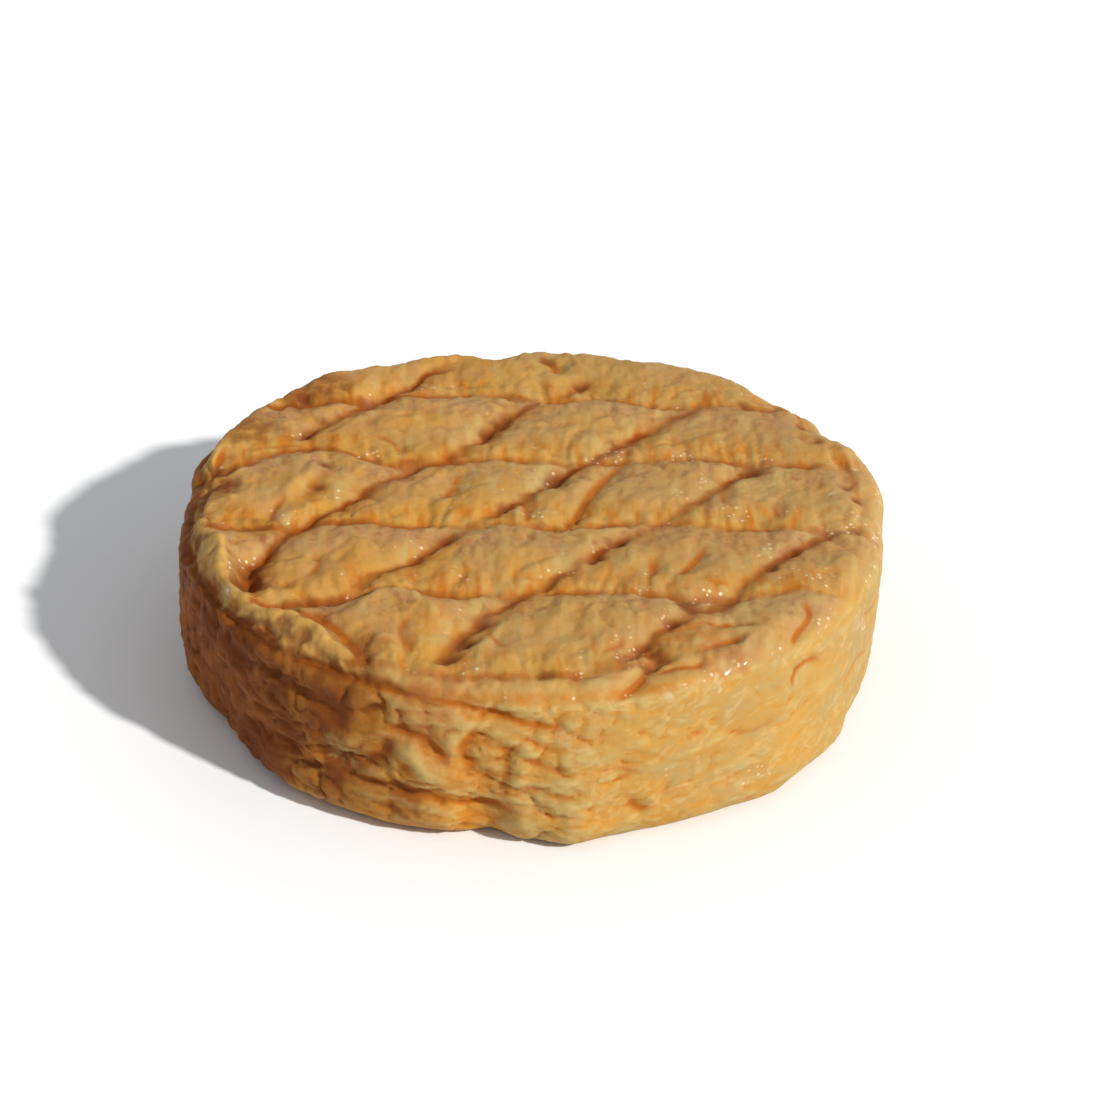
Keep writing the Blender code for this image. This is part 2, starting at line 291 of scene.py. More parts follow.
creases = {
    "topShare": 1.0, "wallShare": 0.75,
    "top": [
        ((1.9, 0.3, 1.5), [(-49, 18), (-51, 11), (-51.6, 3), (-51, -6)]),
        ((1.8, 0.3, 1.5), [(-38, -31, 0.6), (-33, -33, 0.8), (-29, -36), (-26, -41), (-23, -47, 0.8)]),
        ((0.6, 0.3, 1.3), [(47, 17, 0.6), (50, 12), (51, 5), (52, 0), (51, -6), (51.5, -11)]),
        ((1.3, 0.3, 1.4), [(46, 24), (43, 31), (37, 39)]),
        ((1.6, 0.4, 1.4), [(4, -11, 0.6), (7, -5), (9, 1), (12, 8, 0.7), (15, 13, 0.4), (16, 20, 0.6),
                           (18, 27, 0.5)]),
        ((1.2, 0.2, 1.2), [(-6, -6), (-4.5, -2.5), (-1.5, -0.5), (-0.5, -4), (-0.5, -8)]),
        ((1.2, 0.4, 1.6), [(-14, -1, 0.7), (-12, 5), (-11, 10, 0.6)]),
        ((1.3, 0.3, 1.5), [(22, -24), (25, -18), (27, -14, 0.6)]),
        ((1.3, 0.4, 1.5), [(18.5, -24), (18.5, -17)]),
        ((1.0, 0.2, 1.2), [(10, -45), (13, -42), (14, -39)]),
        ((0.8, 0.2, 1.2), [(-46, 17, 0.6), (-38, 19), (-32, 18, 0.7)]),
        ((0.9, 0.3, 1.3), [(-38, 2), (-40, -3), (-39, -7)]),
        ((0.8, 0.3, 1.2), [(-22, -3), (-21, -7)]),
        ((0.8, 0.3, 1.2), [(-26, 22), (-22, 19), (-21, 14)]),
        ((0.8, 0.2, 1.1), [(38, 0), (38, -6)]),
        ((0.8, 0.2, 1.1), [(31, 8), (30, 2), (30, -3)]),
        ((0.8, 0.2, 1.2), [(-3, -44), (-6, -39), (-5, -35)]),
        ((0.9, 0.3, 1.2), [(-17, -44), (-19, -38), (-17, -34)]),
        ((0.9, 0.3, 1.2), [(-34, -24), (-32, -19), (-33, -15)]),
        ((0.8, 0.3, 1.2), [(-36, -27), (-37, -22)]),
        ((1.4, 0.5, 1.4), [(3, 50), (4, 46), (3, 43, 0.6)]),
        ((1.2, 0.6, 1.2), [(-33.4, -32.6), (-31, -33.2), (-28.4, -32.6)]),
        ((1.6, 0.3, 0.9), [(16, -40), (17.6, -43), (18, -46), (17, -49)]),
        ((1.5, 0.2, 0.9), [(34, -36.5, 0.7), (30, -35.5), (27.6, -35.7), (24.6, -35, 0.7)]),
        ((1.5, 0.2, 0.9), [(32, -38.6, 0.7), (30.4, -39.6), (28.2, -40.4), (25.6, -43)]),
    ],
    "wall": [
        ((1.7, 0.25, 1.3), [(229, 25.6, 0.5), (235, 26.3), (242, 26.4), (250, 26), (257, 25.7), (262, 25),
                            (267, 23.8), (271, 22.6), (276, 22, 0.6)]),
        ((1.5, 0.4, 1.5), [(239.5, 30), (240.5, 28.6), (239.5, 27)]),
        ((1.5, 0.5, 1.8), [(225, 21), (230, 21.6), (235, 21), (238.5, 20, 1.0), (240, 17.5, 0.8)]),
        ((1.3, 0.5, 1.6), [(243.5, 23), (245, 21.5), (244.5, 19.5)]),
        ((2.3, 0.8, 1.8), [(235, 11.5, 0.6), (238, 11.3), (241, 11.2), (243.5, 12.5, 0.9), (246.5, 14.6, 0.7),
                           (248, 18, 0.9)]),
        ((1.6, 0.4, 1.4), [(247, 19.5), (251, 19.6), (254.5, 18), (256.6, 15.6), (257.6, 14)]),
        ((1.5, 0.3, 1.3), [(262, 21.5, 0.7), (260.6, 19.5), (259.6, 17.4), (260.6, 14.4),
                           (262.5, 12.6, 0.7)]),
        ((1.2, 0.3, 1.3), [(264.5, 20.4), (266.2, 17.6), (266.4, 14.6), (265.6, 12)]),
        ((1.3, 0.3, 1.4), [(218, 10.5), (226, 10), (233, 9), (241, 9.3), (248, 8.9), (255, 8), (262, 7.2),
                           (268, 6.8)]),
        ((1.0, 0.2, 1.1), [(249, 15), (250.6, 13), (253, 12.2)]),
        ((1.0, 0.3, 1.2), [(268, 17.8), (271.5, 15.9), (274, 15.2), (276.5, 16)]),
        ((0.9, 0.2, 1.1), [(270, 19.8), (273.5, 18.8), (277, 19.2)]),
        ((0.9, 0.2, 1.1), [(267, 10.8), (271, 11.6), (275, 10.6), (278, 11)]),
        ((1.2, 0.4, 1.3), [(281, 22.4, 0.7), (281.2, 20), (281, 18.4)]),
        ((1.3, 0.5, 1.4), [(276, 28), (277.5, 28.9), (280, 29.4, 0.6)]),
        ((2.6, 0.3, 1.1), [(290.3, 28.9), (289.2, 28.8), (288, 28.2), (285.9, 27), (283, 25.6, 0.7)]),
        ((1.6, 0.15, 0.8), [(289.5, 28.4), (293.6, 28.6), (297.6, 28.2), (300.6, 28.8)]),
        ((1.0, 0.2, 1.2), [(282, 15.2), (286, 13.6), (287.6, 12.6)]),
        ((1.3, 0.3, 1.2), [(286.4, 10), (286, 8), (287, 6.6), (290, 6.4, 0.7)]),
        ((1.0, 0.2, 1.0), [(293, 11.6), (291.4, 8.8), (292, 7.4)]),
        ((2.1, 0.1, 0.45), [(324.6, 29, 0.6), (323.4, 28.9), (322.2, 28.3), (320.2, 27.8), (318, 27.4),
                            (316.2, 26.8), (314.6, 25.8, 0.6)]),
        ((1.3, 0.1, 0.5), [(322, 21), (320.2, 22), (317.8, 22.6), (315.7, 22.2), (314.6, 20.6),
                           (314.8, 18, 0.6)]),
        ((0.7, 0.2, 1.1), [(300, 17), (306, 15.4), (312, 16.4)]),
        ((0.7, 0.2, 1.1), [(328, 12), (336, 13.4), (344, 12)]),
        ((0.8, 0.2, 1.1), [(335, 22), (341, 20.4), (345, 21)]),
        ((1.3, 0.4, 1.5), [(190, 23), (200, 22.6), (208, 23.6), (216, 22.4), (222, 20.4)]),
        ((1.2, 0.4, 1.4), [(196, 19), (206, 17.6), (214, 15.6), (220, 13)]),
        ((1.1, 0.3, 1.4), [(188, 13), (198, 12.4), (207, 10.4), (214, 8)]),
        ((0.8, 0.3, 1.6), [(12, 17, 0.4), (20, 19), (28, 20, 0.6), (36, 20.5, 0.9), (44, 18, 0.5)]),
        ((0.9, 0.3, 1.6), [(66, 23, 0.4), (75, 21.4), (82, 20, 0.5), (90, 19.6), (99, 19.4, 0.3),
                           (108, 21, 0.7), (116, 22, 0.5)]),
        ((0.9, 0.3, 1.6), [(84, 9, 0.5), (92, 11), (100, 12, 0.6), (112, 11.4, 0.3), (122, 10, 0.8),
                           (132, 9.4, 0.4)]),
        ((0.9, 0.3, 1.6), [(126, 18, 0.4), (134, 20), (142, 21, 0.5), (152, 20.4, 0.9), (162, 18.6, 0.4),
                           (172, 17, 0.8)]),
    ],
}

ridges = {  # the same, but standing proud
    "topShare": 0.9, "wallShare": 0.7,
    "top": [
        ((2.0, 0.4, 0.8), [(-48.2, -9, 0.7), (-47.4, -13), (-46.6, -18), (-46, -22.5), (-44.6, -27),
                           (-42.4, -30.6, 0.7), (-39.8, -33), (-35.8, -34), (-32.8, -37), (-30.2, -39.6),
                           (-29, -43.6)]),
        ((1.0, 0.4, 0.8), [(-50.6, 2), (-51, -3), (-50.6, -8)]),
        ((0.9, 0.5, 1.0), [(-53, 6), (-52.5, 12), (-49.5, 20)]),
        ((1.0, 0.6, 0.9), [(-33, 13, 0.7), (-35, 8), (-37.5, 5), (-38, 0, 0.6)]),
        ((1.1, 0.6, 0.9), [(-25, -35), (-24.5, -31), (-22, -28), (-19, -28.5), (-16, -31),
                           (-13.5, -36, 0.7)]),
        ((1.1, 0.5, 0.8), [(-7.5, -47), (-6.5, -42), (-4.5, -38), (-2, -35, 0.6)]),
        ((0.8, 0.8, 1.0), [(-23, -41), (-20.5, -40), (-19.5, -44)]),
        ((0.7, 0.7, 1.0), [(-41, 13, 0.7), (-36, 14.5), (-32, 14, 0.7)]),
        ((0.7, 0.7, 1.0), [(-31, 25), (-27, 28), (-24, 30, 0.6)]),
        ((1.2, 0.8, 1.2), [(41, 32), (43, 29.4)]),
        ((1.1, 0.8, 1.2), [(49.6, 19), (50.6, 16)]),
    ],
    "wall": [
        ((1.3, 1.8, 2.0), [(224, 27.4), (229, 27.6), (234, 27.6, 0.9)]),
        ((1.2, 0.4, 0.8), [(232, 30.2, 0.6), (236, 29.3), (238, 28.4), (238.4, 27)]),
        ((1.5, 1.1, 1.0), [(240, 15.2), (241.6, 15.8), (243, 15.4)]),
        ((1.6, 0.9, 1.1), [(250, 18, 0.8), (251.6, 16.6), (253, 14.2), (255, 12.4), (257.8, 11.6, 0.7)]),
        ((1.3, 0.4, 0.7), [(262, 22.8, 0.7), (260.4, 21.6), (258.6, 19.6), (257.9, 17.4), (258.6, 16)]),
        ((0.9, 0.6, 0.8), [(258.4, 24), (259.6, 22.8)]),
        ((0.9, 0.9, 1.2), [(262, 18.6), (263.4, 17.6)]),
        ((1.0, 0.5, 0.7), [(268.6, 19), (270.6, 17.8), (272, 16.8)]),
        ((0.8, 0.5, 0.7), [(273, 17), (275, 17.4), (276.6, 18.2)]),
        ((1.1, 0.9, 1.0), [(267.4, 15), (268, 13), (269.6, 12)]),
        ((0.8, 0.5, 0.8), [(271, 13), (274, 12.6), (277, 13.6)]),
        ((0.8, 0.4, 0.8), [(246, 7.2), (253, 6.4), (260, 5.6)]),
        ((0.8, 0.4, 0.7), [(250, 10.4), (256, 10), (262, 9), (266, 8.6)]),
        ((0.8, 0.5, 0.8), [(264, 26), (268, 25.2), (273, 24.6)]),
        ((0.7, 0.4, 0.7), [(272, 9.6), (276, 9), (280, 9.8)]),
        ((0.7, 0.5, 0.8), [(283, 17.4), (286, 18.6), (289.4, 18.2)]),
        ((0.8, 0.6, 0.9), [(289, 26.4), (294, 27), (299, 27.2)]),
        ((0.6, 0.4, 0.8), [(292, 14.8), (298, 15.6), (303, 17)]),
        ((0.6, 0.4, 0.8), [(300, 10.4), (306, 11.6), (311, 13.2)]),
        ((0.6, 0.4, 0.8), [(318, 17), (322, 16.2), (327, 17.4)]),
    ],
}

pits = {  # dark hollows along the marks and at the edge: x, y and radius
    "spots": [
        (-7.2, 24.5, 1.6), (-5.6, 27, 1.9), (-4.4, 29, 1.4), (-25.3, 35.3, 2.0), (-26.9, 34.3, 1.5),
        (-37.9, 36.5, 2.0), (-39, 35, 1.5), (-48.6, 6.5, 3.0), (-49.4, 11.4, 2.4), (-33.3, 5.2, 1.1),
        (-32.7, 11.4, 1.2), (-36.5, 24.2, 1.7), (-34.1, 27.6, 1.4), (3.7, 7.8, 2.0), (34.6, 11.1, 1.9),
        (13.2, -12.4, 1.8), (9.9, -17.2, 1.6), (39.8, -14.8, 1.6), (36.2, -19.6, 1.4),
        (34.5, 32.5, 1.0), (48.9, 5.2, 1.0), (51, 2, 1.3), (50, -7.7, 1.3), (44, 26.5, 1.2),
        (45.8, 19.8, 1.2), (-42.4, -22.6, 3.0), (-41.8, -17.6, 2.6), (-29.6, -29, 1.5),
        (-33.6, -29, 1.5), (17.5, -42.1, 2.2), (19.2, -44.3, 1.7), (2.1, 48.8, 1.6), (13.2, 19.8, 1.2),
        (-12.2, -45.1, 2.1), (-9.9, -41, 1.9), (-7.3, -36.2, 1.8), (23.3, -30.8, 2.1), (8.1, 40.7, 1.4),
        (-13, -11.4, 1.3), (-4.3, -1.8, 1.3), (20.9, -35.6, 1.5), (2.5, -50, 1.8), (17.5, -47.5, 1.8),
    ],
}


def eased(points, step=0.6):
    # a smooth path through given points, with a point about every step; the third column is the share
    points = np.array([tuple(point) + (1.0,) * (3 - len(point)) for point in points], dtype=float)
    ends = np.vstack([2 * points[0] - points[1], points, 2 * points[-1] - points[-2]])
    out = []
    for k in range(1, len(ends) - 2):
        p0, p1, p2, p3 = ends[k - 1:k + 3]
        count = max(int(np.linalg.norm((p2 - p1)[:2]) / step), 1)
        for t in np.arange(count) / count:
            out.append(0.5 * (2 * p1 + (p2 - p0) * t + (2 * p0 - 5 * p1 + 4 * p2 - p3) * t * t
                              + (3 * p1 - p0 - 3 * p2 + p3) * t**3))
    out.append(points[-1])
    return np.array(out)


ending = {"length": 2.5, "share": 0.15}  # how a line runs out: over which length, and to what share


def lineObject(name, kinds):
    # edges on the smooth wheel that carry their own depth, floor and reach
    places, edges, sizes = [], [], []
    for placeOf, lines, scale in kinds:
        for size, points in lines:
            path = eased(points)
            spots = placeOf(path[:, 0], path[:, 1])
            along = np.concatenate([[0.0], np.cumsum(np.linalg.norm(np.diff(spots, axis=0), axis=1))])
            ends = np.clip(np.minimum(along, along[-1] - along) / ending["length"], 0.0, 1.0)
            ends = ends * (1.0 - ending["share"]) + ending["share"]
            edges += [(len(places) + k, len(places) + k + 1) for k in range(len(spots) - 1)]
            places += spots.tolist()
            sizes += [(size[0] * scale * share, size[1], size[2]) for share in ends * path[:, 2]]
    return guideObject(name, places, edges, "FLOAT_VECTOR", "vector", sizes)


def spotObject(name, spots):
    # one loose point on the smooth wheel for each hollow, which carries its radius
    spots = np.array(spots, dtype=float)
    places = onTop(spots[:, 0], spots[:, 1]).tolist()
    return guideObject(name, places, [], "FLOAT", "value", spots[:, 2])


def guideObject(name, places, edges, kind, field, sizes):
    # an object that the relief tree reads and that is removed afterwards
    mesh = bpy.data.meshes.new(name)
    mesh.from_pydata(places, edges, [])
    carried = mesh.attributes.new("pressSize", kind, "POINT")
    carried.data.foreach_set(field, np.array(sizes, dtype=np.float32).ravel())
    return placed(name, mesh)


# the inputs of the relief tree, in millimetres: how far the marks stray, how strong each form is, how deep
# the hollows are, how far the left rim's rounding drops behind its lip, and what lifts it all
relief = {
    "Stray": 2.6,
    "Swell": 0.7, "Top Dimples": 0.45, "Top Pleats": 0.7, "Top Wrinkles": 0.22, "Top Grain": 0.8,
    "Wall Lumps": 0.7, "Wall Folds": 0.6, "Wall Wrinkles": 0.2, "Wall Grain": 0.85, "Wall Flakes": 0.3,
    "Rim Grain": 1.3, "Pit Depth": 0.6, "Rim Drop": 1.4, "Lift": 0.3,
}

crinkles = {  # size, stretch of the pattern along x, y and z, width of its valleys, start of its noise
    "Top Dimples": (6.5, (1.0, 1.0, 1.0), 0.13, 3.0), "Top Pleats": (3.4, (1.2, 0.3, 0.6), 0.15, 21.0),
    "Top Wrinkles": (1.6, (1.2, 0.7, 1.0), 0.15, 47.0), "Wall Lumps": (7.0, (1.0, 1.0, 1.1), 0.07, 64.0),
    "Wall Folds": (3.8, (0.8, 0.8, 1.6), 0.09, 85.0), "Wall Wrinkles": (1.8, (0.6, 0.6, 1.9), 0.14, 99.0),
}

grains = {  # size and stretch of the roughness along x, y and z
    "Top Grain": (3.4, (1.0, 0.8, 1.0)), "Wall Grain": (3.8, (0.8, 0.8, 1.5)),
    "Rim Grain": (3.0, (1.0, 1.0, 0.9)),
}

shelves = {"height": 2.7, "bend": 11.0, "stretch": (1.0, 1.0, 1.3), "start": (31.0, 7.0, 3.0)}

# how a line presses: over how many millimetres it widens to its wide side, how wide its floor's colour is
# (a share of the floor, and what is added), and the reach of the part of its depth that falls off at once
press = {"widening": 1.5, "floorShare": 0.8, "floorMore": 0.4, "edgeReach": 0.3}

# the side to which each kind of mark presses wider, by how much, and the share that falls off at once
lean = {"slant": ((0.756, -0.654, 0.0), 0.4, 0.0), "cross": ((0.0, 1.0, 0.0), -0.3, 0.4)}


def groupInput(tree, names):
    tree.interface.new_socket(name="Geometry", in_out="INPUT", socket_type="NodeSocketGeometry")
    for name, kind in names:
        tree.interface.new_socket(name=name, in_out="INPUT", socket_type=kind)
    tree.interface.new_socket(name="Geometry", in_out="OUTPUT", socket_type="NodeSocketGeometry")
    node = tree.nodes.new("NodeGroupInput")
    return {socket.name: Wire(socket) for socket in node.outputs if socket.name}


def vector(tree, operation, first, second=None):
    values = {0: first, "Scale": second} if operation == "SCALE" else {0: first, 1: second}
    return add(tree, "ShaderNodeVectorMath", {"operation": operation}, values,
               out="Value" if operation == "DOT_PRODUCT" else "Vector")


def split(tree, wire):
    node = tree.nodes.new("ShaderNodeSeparateXYZ")
    plug(tree, wire, node.inputs[0])
    return [Wire(socket) for socket in node.outputs]


def noise(tree, where, scale, detail, out=0, **more):
    values = {"Vector": where, "Scale": scale, "Detail": detail, **more}
    return add(tree, "ShaderNodeTexNoise", {}, values, out)


def wander(tree, where, scale, detail, reach):
    # a smooth shift of changing direction, by up to about a third of the reach
    shift = noise(tree, where, scale, detail, out="Color")
    return vector(tree, "SCALE", vector(tree, "SUBTRACT", shift, (0.5, 0.5, 0.5)), reach)


def nearestOn(tree, guide, place, element, kind):
    # how far away a guide's nearest edge or point is, where it lies, and the sizes that it carries
    shape = add(tree, "GeometryNodeObjectInfo", {"transform_space": "ORIGINAL"}, {"Object": guide},
                out="Geometry")
    near = tree.nodes.new("GeometryNodeProximity")
    near.target_element = element
    plug(tree, shape, near.inputs[0])
    plug(tree, place, near.inputs["Sample Position"])
    nearest = add(tree, "GeometryNodeSampleNearest", {"domain": "POINT"},
                  {"Geometry": shape, "Sample Position": place})
    sizes = add(tree, "GeometryNodeInputNamedAttribute", {"data_type": kind}, {"Name": "pressSize"})
    carried = add(tree, "GeometryNodeSampleIndex", {"data_type": kind, "domain": "POINT"},
                  {"Geometry": shape, "Value": sizes, "Index": nearest})
    return Wire(near.outputs["Distance"]), Wire(near.outputs["Position"]), carried


def pressOf(tree, guide, place, across=(0.0, 1.0, 0.0), wider=0.0, edge=0.0):
    # how deep the lines of one guide press, easing to nothing with distance; a share, edge, of it falls off
    # at once, and all of it reaches further on the side that the vector across points to; then the depth on
    # their floor alone, how far over to that side the place lies, the nearest line's depth and its distance
    away, spot, carried = nearestOn(tree, guide, place, "EDGES", "FLOAT_VECTOR")
    depth, floor, reach = split(tree, carried)
    side = vector(tree, "DOT_PRODUCT", vector(tree, "SUBTRACT", place, spot), across)
    reach = reach * (side.between(-press["widening"], press["widening"]) * wider + 1.0)
    rounded = (away * away + floor * floor) ** 0.5 - floor
    inFloor = away / (floor * press["floorShare"] + press["floorMore"])
    sides = (rounded / (-reach)).exp() * (1.0 - edge)
    sides = sides + (rounded / (reach * -press["edgeReach"])).exp() * edge
    return depth * sides, depth * (-(inFloor * inFloor)).exp(), side, depth, away


def spotsOf(tree, guide, place):
    # 1 in the middle of the nearest hollow of a guide, easing to 0 a little outside its radius
    away, _, radius = nearestOn(tree, guide, place, "POINTS", "FLOAT")
    return (away / radius).between(1.25, 0.45)


def crinkle(tree, place, name):
    # a network of narrow valleys round smooth swellings: 1 in the valleys, falling to 0 away from them
    size, stretch, width, start = crinkles[name]
    stretched = vector(tree, "MULTIPLY", place, tuple(share / size for share in stretch))
    started = vector(tree, "ADD", stretched, (start, start * 0.7, -start))
    swing = noise(tree, vector(tree, "ADD", started, wander(tree, started, 0.55, 0.0, 1.8)), 1.0, 0.0)
    broken = noise(tree, started, 0.6, 1.0)
    return ((swing - 0.5).size() / -width).exp() * broken.between(0.3, 0.62)


def grain(tree, place, name):
    # rough unevenness at several sizes at once, about -0.5 to 0.5
    size, stretch = grains[name]
    stretched = vector(tree, "MULTIPLY", place, tuple(share / size for share in stretch))
    return noise(tree, stretched, 1.0, 1.3, Roughness=0.5, Distortion=0.4) - 0.5


def flakes(tree, place, z):
    # broken shelves that lie over each other down the wall: each swells out downwards, then drops back
    bend = noise(tree, vector(tree, "MULTIPLY", place, shelves["stretch"]), 0.13, 2.0, Roughness=0.6)
    swell = (bend * shelves["bend"] - z / shelves["height"]).maths("FRACT")
    broken = noise(tree, vector(tree, "ADD", place, shelves["start"]), 0.22, 1.0)
    return swell * swell.between(1.0, 0.7) * broken.between(0.36, 0.62)


def blurred(tree, value, rounds, kind="FLOAT"):
    return add(tree, "GeometryNodeBlurAttribute", {"data_type": kind}, {"Value": value, "Iterations": rounds})


def stored(tree, geometry, name, value):
    return add(tree, "GeometryNodeStoreNamedAttribute", {"data_type": "FLOAT", "domain": "POINT"},
               {"Geometry": geometry, "Name": name, "Value": value})


def reliefTree():
    tree = bpy.data.node_groups.new("rindRelief", "GeometryNodeTree")
    names = [(name, "NodeSocketObject")
             for name in ("Slant Marks", "Cross Marks", "Creases", "Ridges", "Pits")]
    names += [(name, "NodeSocketFloat") for name in relief]
    names += [("Rind", "NodeSocketMaterial")]
    into = groupInput(tree, names)
    place = add(tree, "GeometryNodeInputPosition")
    facing = add(tree, "GeometryNodeInputNormal")
    x, y, z = split(tree, place)
    upward = split(tree, facing)[2]

    stray = wander(tree, place, 0.3, 2.0, into["Stray"])
    strayed = vector(tree, "ADD", place, vector(tree, "MULTIPLY", stray, (1.0, 1.0, 0.0)))
    slantDepth, slantFloor, beside, slant, fromSlant = pressOf(
        tree, into["Slant Marks"], strayed, *lean["slant"])
    crossDepth, crossFloor, behind, _, fromCross = pressOf(
        tree, into["Cross Marks"], strayed, *lean["cross"])
    creaseDepth, crack = pressOf(tree, into["Creases"], place)[:2]
    ridgeHeight, ridge = pressOf(tree, into["Ridges"], place)[:2]
    pit = spotsOf(tree, into["Pits"], strayed)
    # the marks are shallower here and there, and a little shallower to the right
    uneven = noise(tree, place, 0.16, 1.0).between(0.3, 0.6) * 0.4 + 0.72 - x * 0.005
    pressed = (slantDepth * uneven) ** 3.0 + (crossDepth * uneven) ** 3.0 + creaseDepth ** 3.0
    pressed = pressed ** (1.0 / 3.0)  # where lines meet, the deepest counts

    onFace = upward.between(0.3, 0.8)
    onWall = 1.0 - onFace
    front = behind.between(8.0, 1.0) * behind.between(-1.0, 0.5)  # just behind a cross mark
    lumpy = (x * -0.0077 - y * 0.0165).between(-0.3, 0.75)  # most on the left of the front, least behind
    calm = (x * 0.02 - y * 0.006 + 0.1).between(0.25, 1.0)  # the wall is smoother on the right of the front
    quiet = onWall * (1.0 - calm * 0.65)
    strength = {
        "Top Dimples": onFace, "Top Pleats": onFace * (front * 0.7 + 0.3), "Top Wrinkles": onFace,
        "Wall Lumps": quiet * (lumpy * 0.6 + 0.4), "Wall Folds": quiet * (lumpy * 0.4 + 0.6),
        "Wall Wrinkles": onWall * (x.between(-50.0, -24.0) * 0.6 + 0.4),
    }
    network = {name: crinkle(tree, place, name) for name in crinkles}
    valleys = None
    for name, share in strength.items():
        valley = network[name] * into[name] * share
        valleys = valley if valleys is None else valleys + valley
    furrow = (network["Wall Wrinkles"] + network["Wall Folds"]) * onWall

    swell = (noise(tree, place, 0.07, 1.0) - 0.5) * 2.0
    leftRim = upward.between(0.05, 0.4) * upward.between(1.0, 0.8) * (-x).between(10.0, 34.0)
    fromMiddle = (x * x + y * y) ** 0.5
    parapet = fromMiddle.between(44.0, 47.5) * upward.between(0.05, 0.4) * (-x).between(16.0, 34.0)
    parapet = parapet * y.between(34.0, 8.0)  # the lip of the left rim
    facet = x.between(-20.0, -10.0) * x.between(40.0, 16.0) * (-y).between(20.0, 40.0)  # the flaky front
    rough = None
    for name, share in {"Top Grain": onFace, "Wall Grain": quiet, "Rim Grain": parapet}.items():
        part = grain(tree, place, name) * into[name] * share
        rough = part if rough is None else rough + part
    shelf = flakes(tree, place, z) * (facet * 0.75 + 0.25) * onWall
    rough = rough + (shelf - 0.3) * into["Wall Flakes"] * facet
    shaped = ridgeHeight - pressed - pit * into["Pit Depth"] - leftRim * into["Rim Drop"]
    height = swell * into["Swell"] + rough + into["Lift"] + blurred(tree, shaped, 2) - valleys
    height = height * z.between(0.0, 3.0)  # the foot stays flat

    # what the finish reads is kept first, while every point is still in its old place
    kept = into["Geometry"]
    readings = {
        "mark": slantFloor.most(crossFloor), "ridge": ridge, "valley": valleys, "behind": behind,
        "fromCross": fromCross, "beside": beside, "fromSlant": fromSlant, "slant": slant * uneven,
        "onFace": onFace, "shelf": shelf, "parapet": parapet, "furrow": furrow, "crack": crack,
        "pit": blurred(tree, pit, 1),
    }
    for name, value in readings.items():
        kept = stored(tree, kept, name, value)
    offset = vector(tree, "SCALE", facing, height)
    moved = add(tree, "GeometryNodeSetPosition", {}, {"Geometry": kept, "Offset": offset})
    # how far each point now stands proud of its blurred surroundings
    now = add(tree, "GeometryNodeInputPosition")
    average = blurred(tree, now, 8, "FLOAT_VECTOR")
    proud = vector(tree, "DOT_PRODUCT", vector(tree, "SUBTRACT", now, average),
                   add(tree, "GeometryNodeInputNormal"))
    moved = stored(tree, moved, "crest", proud)
    whole = add(tree, "GeometryNodeRealizeInstances", {}, {"Geometry": moved})
    done = add(tree, "GeometryNodeSetMaterial", {}, {"Geometry": whole, "Material": into["Rind"]})
    last = tree.nodes.new("NodeGroupOutput")
    plug(tree, done, last.inputs["Geometry"])
    return tree


# base colours of the rind, and those of its painted shade, sheen and glints, which rindMaterial lays over
# each other
rindFinish = {
    "ochre": (0.44, 0.235, 0.068, 1), "gold": (0.50, 0.250, 0.034, 1), "amber": (0.42, 0.135, 0.010, 1),
    "brown": (0.25, 0.056, 0.005, 1), "pale": (0.33, 0.239, 0.091, 1), "bloom": (0.35, 0.195, 0.096, 1),
    "umber": (0.17, 0.045, 0.009, 1), "lip": (0.43, 0.305, 0.106, 1), "rust": (0.36, 0.100, 0.010, 1),
    "dusk": (0.27, 0.120, 0.046, 1), "rosy": (0.34, 0.130, 0.045, 1), "shine": (0.90, 0.80, 0.55, 1),
    "soot": (0.11, 0.028, 0.005, 1), "milk": (0.50, 0.40, 0.24, 1),
    "cream": (0.50, 0.375, 0.16, 1), "straw": (0.56, 0.34, 0.085, 1), "tan": (0.41, 0.240, 0.098, 1),
}

blots = {  # centre of each, in millimetres, and its radius
    "brown": [
        ((-29, -46, 20), 5.0), ((-35, -40, 12), 4.0), ((-28, -45, 8.5), 3.0), ((-38, -37, 7), 6.0),
        ((-17, -49, 7), 4.0),
    ],
    # painted shade: dark blots over the shaded left of the rim and wall
    "umber": [
        ((-37, -38, 26), 11.0), ((-46, -24, 25), 10.0), ((-26, -45, 24), 8.0), ((-53, 4, 26), 6.0),
        ((-45, 24, 29), 7.0), ((-36, 38, 28), 8.0), ((-52, -10, 25), 7.0), ((-41, -8, 29), 4.0),
        ((-31, -45, 20), 6.0), ((-45, -32, 10), 9.0),
    ],
    # paler spots: partly the rind's own paler patches, partly painted highlight and sheen
    "pale": [
        ((-8, -9, 30), 4.0), ((-30, 5, 30), 4.0), ((-8, 6, 30), 5.0), ((3, 6, 30), 5.0), ((37, 6, 29), 7.0),
        ((47, -4, 29), 6.0), ((3, -51, 8), 7.0), ((-27, -46, 14), 3.5), ((-50, -14, 29), 3.0),
        ((-46, -27, 29), 3.0), ((32, -31, 29), 7.0),
    ],
    "rosy": [((28, -43, 28), 4.5), ((18, -44, 28), 3.0), ((-14, -51, 26), 5.0)],
    "glowing": [((-8, -53, 16), 5.0), ((-8, -53, 6), 8.0), ((24, -40, 29), 6.0)],
    # painted sheen: small pale spots where the wet rind catches the light
    "paintedSheenSpots": [
        ((-32, 9.5, 30), 1.3), ((5.5, 5.5, 30), 1.3), ((12, 3, 30), 1.1), ((47, 2, 29), 1.0),
        ((-13, -38, 30), 1.4), ((28, -48, 26), 1.2), ((20, -51, 25), 1.3),
    ],
    # painted shade: dark blots over the shaded left of the wall
    "soot": [
        ((-43, -34, 24), 5.0), ((-49, -26, 22), 4.0), ((-28, -47, 21), 3.0), ((-28, -47, 11), 4.0),
        ((-41, -33, 4), 6.0), ((-35, -41, 13), 4.0), ((-37, -40, 20), 4.0), ((-48, -27, 12), 4.0),
    ],
}

